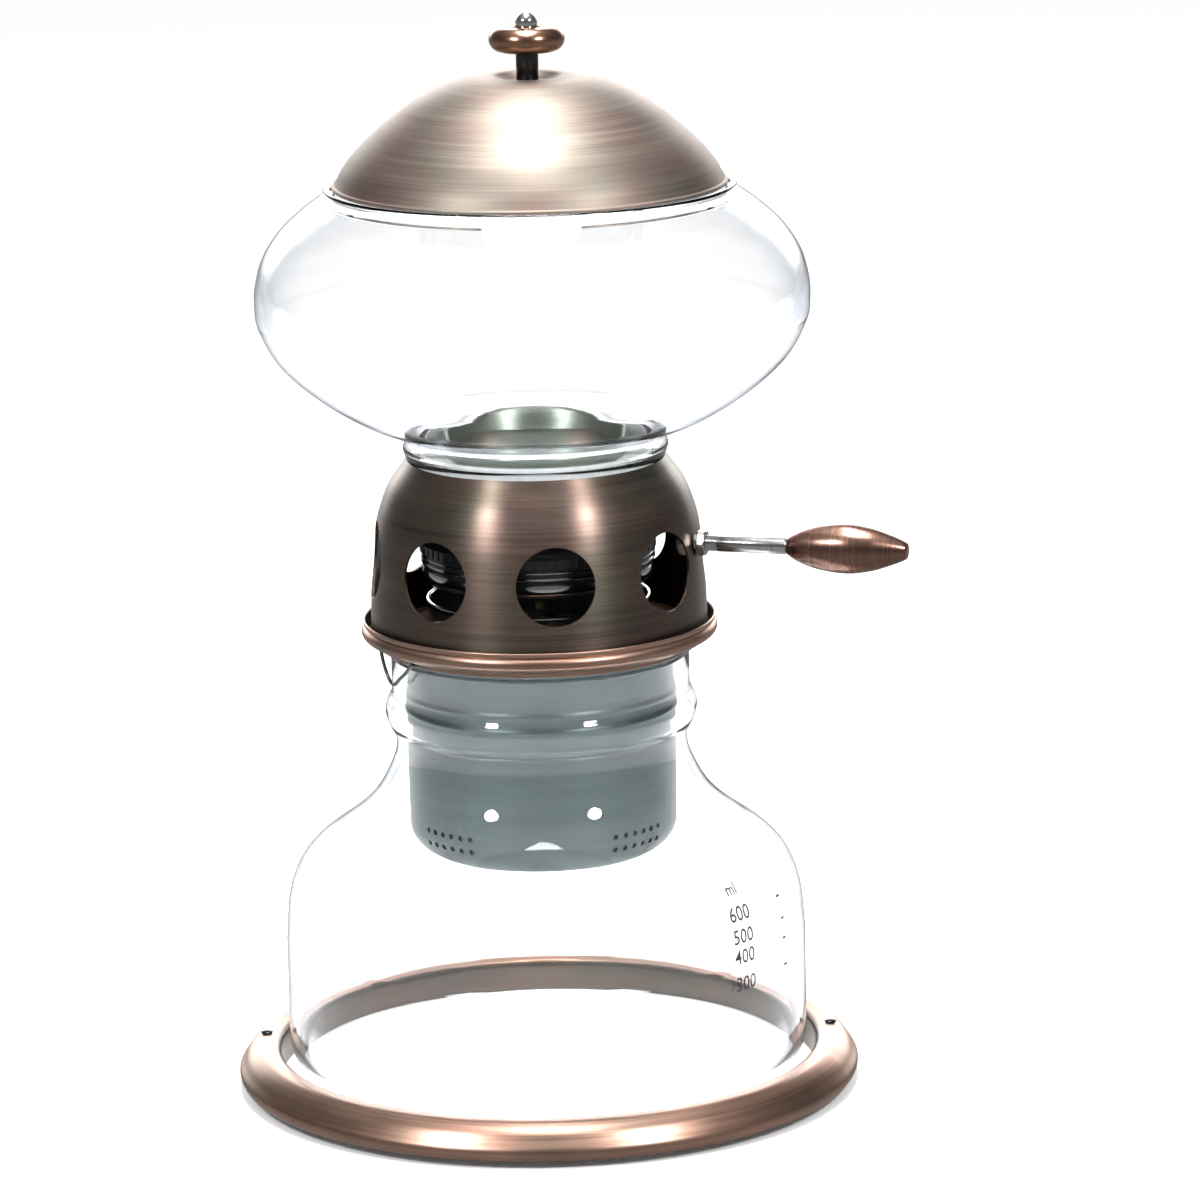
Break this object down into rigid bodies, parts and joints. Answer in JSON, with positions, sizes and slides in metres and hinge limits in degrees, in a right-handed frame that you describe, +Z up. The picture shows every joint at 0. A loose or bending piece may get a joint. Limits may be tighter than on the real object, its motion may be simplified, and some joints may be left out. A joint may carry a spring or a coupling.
{
  "type": "slow-drip coffee maker",
  "caption": "Gravity slow-drip coffee maker: glass water globe with a domed lid on a pierced copper helmet with a side handle, over a steel strainer, glass server and base ring.",
  "frame": {"origin": "centre of the flat underside of the base, on the axis of all the turned parts", "axes": "+Z up along that axis, +X along the side handle"},
  "size_m": [0.204, 0.185, 0.32],
  "materials": {
    "base_copper": "satin copper-plated sheet",
    "antique_copper": "brushed, darkened copper plating",
    "lid_copper": "brushed copper plating",
    "grip_copper": "polished copper plating",
    "white_enamel": "semi-gloss white enamel",
    "satin_steel": "satin",
    "mesh_steel": "fine woven mesh",
    "dark_steel": "dark plated",
    "bright_chrome": "bright",
    "nozzle_brass": "turned",
    "clear_glass": "clear heat-proof glass",
    "dial_plastic": "glossy black",
    "silicone": "translucent silicone",
    "pad_rubber": "matt"
  },
  "bodies": {
    "base": {"base_ring": "base_copper", "base_plate": "white_enamel", "base_pad": "pad_rubber", "base_rivet_1": "dark_steel", "base_rivet_2": "dark_steel"},
    "server": {"server_glass": "clear_glass"},
    "strainer": {"strainer_cup": "satin_steel", "mesh_band": "mesh_steel"},
    "spreader": {"spreader_plate": "satin_steel", "splash_ring": "satin_steel"},
    "helmet": {"helmet_shell": "antique_copper", "collar_ring": "base_copper", "wire_clip": "satin_steel", "handle_nut": "satin_steel", "handle_inner_nut": "satin_steel", "handle_rod": "satin_steel", "handle_grip": "grip_copper"},
    "globe": {"bowl_glass": "clear_glass", "valve_cup": "satin_steel", "cup_gasket": "silicone", "lower_gasket": "silicone", "valve_nut": "satin_steel"},
    "dial": {"drip_dial": "dial_plastic", "drip_nozzle": "nozzle_brass"},
    "lid": {"lid_dome": "lid_copper", "knob_stem": "dark_steel", "lid_washer": "dark_steel", "lid_nut": "dark_steel", "lid_knob": "grip_copper", "knob_finial": "bright_chrome"}
  },
  "joints": [
    {"name": "server_lift", "type": "slide", "parent": "base", "child": "server", "axis": [0, 0, 1], "range_m": [0, 0.06]},
    {"name": "strainer_lift", "type": "slide", "parent": "server", "child": "strainer", "axis": [0, 0, 1], "range_m": [0, 0.08]},
    {"name": "spreader_lift", "type": "slide", "parent": "strainer", "child": "spreader", "axis": [0, 0, 1], "range_m": [0, 0.03]},
    {"name": "helmet_lift", "type": "slide", "parent": "spreader", "child": "helmet", "axis": [0, 0, 1], "range_m": [0, 0.03]},
    {"name": "globe_lift", "type": "slide", "parent": "helmet", "child": "globe", "axis": [0, 0, 1], "range_m": [0, 0.06]},
    {"name": "dial_turn", "type": "hinge", "parent": "globe", "child": "dial", "pos_m": [0, 0, 0.154], "axis": [0, 0, 1], "range_deg": [0, 270]},
    {"name": "lid_lift", "type": "slide", "parent": "globe", "child": "lid", "axis": [0, 0, 1], "range_m": [0, 0.06]}
  ]
}
